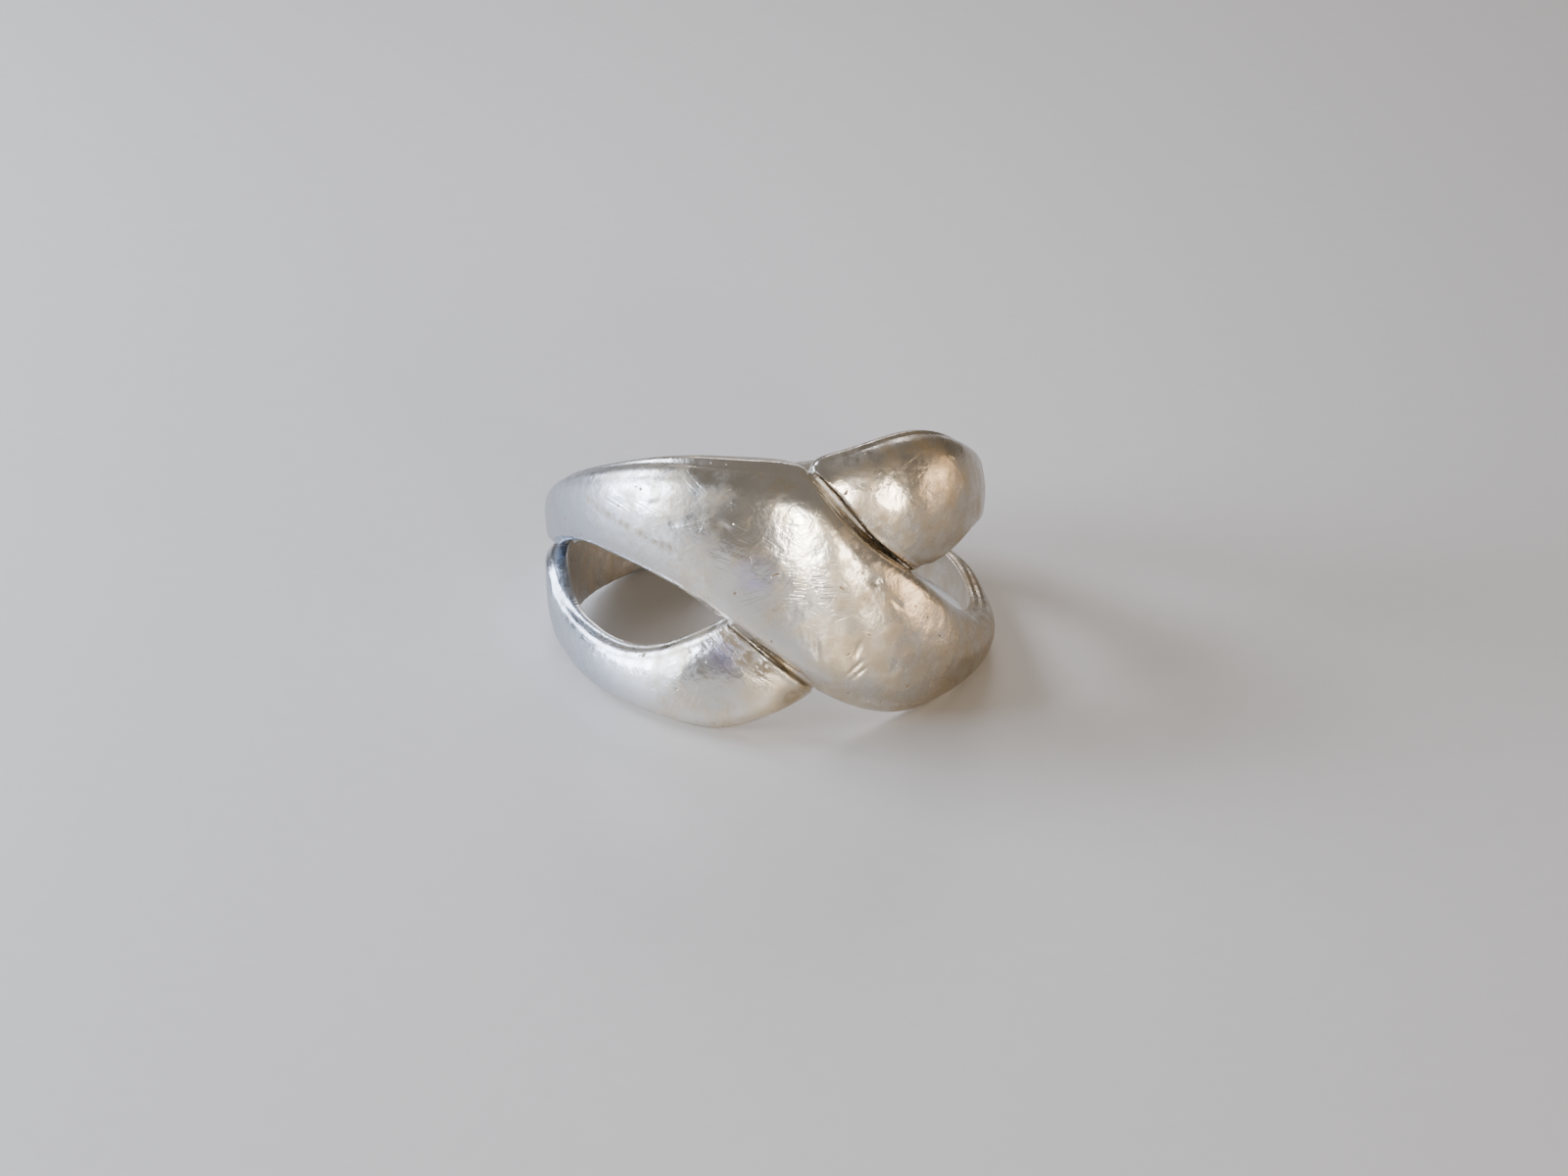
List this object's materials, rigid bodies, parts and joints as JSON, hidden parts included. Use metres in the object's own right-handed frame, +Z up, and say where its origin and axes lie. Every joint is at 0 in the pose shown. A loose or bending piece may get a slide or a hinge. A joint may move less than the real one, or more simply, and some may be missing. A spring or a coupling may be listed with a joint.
{
  "type": "linked crossover finger ring",
  "caption": "Finger ring of linked, domed bands that cross over at a wide front and narrow to a slim back; the over band slides forward out of the nest.",
  "frame": {"origin": "centre of the footprint on the surface the ring rests on", "axes": "+Z up, -Y towards the wide crossover front, +X to the right seen from the front; the finger hole leans back 13 degrees towards +Y"},
  "size_m": [0.02, 0.0218, 0.0121],
  "materials": {
    "silver": "worn satin polish"
  },
  "bodies": {
    "under": {"under_band": "silver"},
    "over": {"over_band": "silver"}
  },
  "joints": [
    {"name": "over_band_slide", "type": "slide", "parent": "under", "child": "over", "axis": [0, -0.9744, 0.225], "range_m": [0, 0.0145]}
  ]
}
